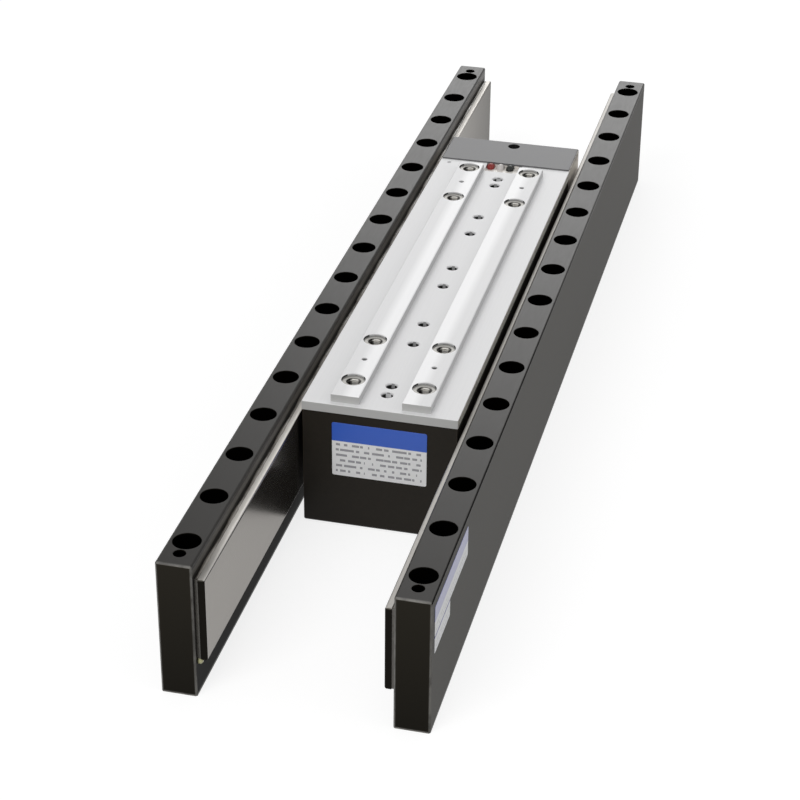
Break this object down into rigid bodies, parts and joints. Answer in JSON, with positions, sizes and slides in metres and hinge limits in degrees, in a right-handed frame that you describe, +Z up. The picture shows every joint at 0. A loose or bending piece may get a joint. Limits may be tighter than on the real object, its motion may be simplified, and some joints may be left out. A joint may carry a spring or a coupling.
{
  "type": "linear motor",
  "caption": "Linear servo motor: a cored coil slider with a mounting plate runs between parallel magnet rails that bolt down to a machine bed.",
  "frame": {"origin": "middle of the two rails' footprint, on the surface that they are bolted to", "axes": "+Y along the travel, away from the labelled front end; +Z up, out of the mounting surface; +X to the right seen along +Y"},
  "size_m": [0.1034, 0.512, 0.0621],
  "materials": {
    "black_steel": "black oxide, satin",
    "magnet": "nickel plated",
    "stainless_cover": "fine brushed stainless sheet",
    "magnet_resin": "cast resin",
    "aluminium_plate": "milled, clear anodised",
    "bush_steel": "turned steel",
    "black_screw": "black oxide",
    "core_steel": "stacked laminations",
    "insulator": "moulded",
    "copper_winding": "enamelled round wire",
    "black_resin": "cast, satin",
    "sensor_bead": "coated bead",
    "red_lead": "silicone insulation",
    "white_lead": "silicone insulation",
    "black_lead": "silicone insulation",
    "splice_tin": "tinned copper",
    "cream_potting": "cast resin",
    "grey_block": "grey satin coat",
    "brass_insert": "knurled, machined",
    "black_rubber": "moulded",
    "label_foil": "printed foil"
  },
  "bodies": {
    "magnet_track": {"left_yoke": "black_steel", "right_yoke": "black_steel", "left_north_magnets": "magnet", "left_south_magnets": "magnet", "right_north_magnets": "magnet", "right_south_magnets": "magnet", "left_magnet_cover": "stainless_cover", "right_magnet_cover": "stainless_cover", "left_magnet_resin": "magnet_resin", "right_magnet_resin": "magnet_resin", "rail_labels": "label_foil"},
    "coil_slider": {"mounting_plate": "aluminium_plate", "mounting_bushes": "bush_steel", "plate_screws": "black_screw", "core_stack": "core_steel", "slot_insulators": "insulator", "phase_u_coils": "copper_winding", "phase_v_coils": "copper_winding", "phase_w_coils": "copper_winding", "coil_mould": "black_resin", "winding_thermistor": "sensor_bead", "phase_lead_red": "red_lead", "phase_lead_white": "white_lead", "phase_lead_black": "black_lead", "lead_splices": "splice_tin", "lead_potting": "cream_potting", "end_block": "grey_block", "end_block_screws": "black_screw", "mould_inserts": "brass_insert", "cable_gland": "black_rubber", "cable_clamp_screw": "black_screw", "front_label": "label_foil"}
  },
  "joints": [
    {"name": "slider_travel", "type": "slide", "parent": "magnet_track", "child": "coil_slider", "axis": [0, 1, 0], "range_m": [-0.126, 0.13]}
  ]
}
